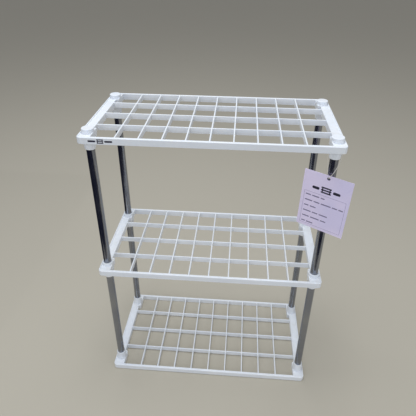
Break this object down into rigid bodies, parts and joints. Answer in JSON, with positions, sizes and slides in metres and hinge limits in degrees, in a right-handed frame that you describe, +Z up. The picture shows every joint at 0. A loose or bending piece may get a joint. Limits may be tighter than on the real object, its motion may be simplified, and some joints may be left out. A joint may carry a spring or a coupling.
{
  "type": "tiered shelf riser",
  "caption": "Free-standing storage rack: lattice shelves in white plastic joined by slim steel corner tubes, with a hang tag on a string.",
  "frame": {"origin": "on the floor, at the centre of the rack's footprint", "axes": "+Z up, +X along the length to the right, +Y to the back"},
  "size_m": [0.3926, 0.2053, 0.5045],
  "materials": {
    "shelf_plastic": "moulded white polypropylene, semi-gloss",
    "tube_steel": "polished steel tube",
    "tag_card": "pale lilac coated card",
    "tag_string": "off-white twisted string"
  },
  "bodies": {
    "rack": {"bottom_shelf": "shelf_plastic", "middle_shelf": "shelf_plastic", "top_shelf": "shelf_plastic", "lower_tube_front_left": "tube_steel", "lower_tube_front_right": "tube_steel", "lower_tube_back_left": "tube_steel", "lower_tube_back_right": "tube_steel", "upper_tube_front_left": "tube_steel", "upper_tube_front_right": "tube_steel", "upper_tube_back_left": "tube_steel", "upper_tube_back_right": "tube_steel", "tag_string": "tag_string", "string_knot": "tag_string"},
    "tag": {"hang_tag": "tag_card"}
  },
  "joints": [
    {"name": "tag_swing", "type": "hinge", "parent": "rack", "child": "tag", "pos_m": [0.17195, -0.086, 0.444], "axis": [0.5085, 0.8608, 0.0227], "range_deg": [-35, 35]}
  ]
}
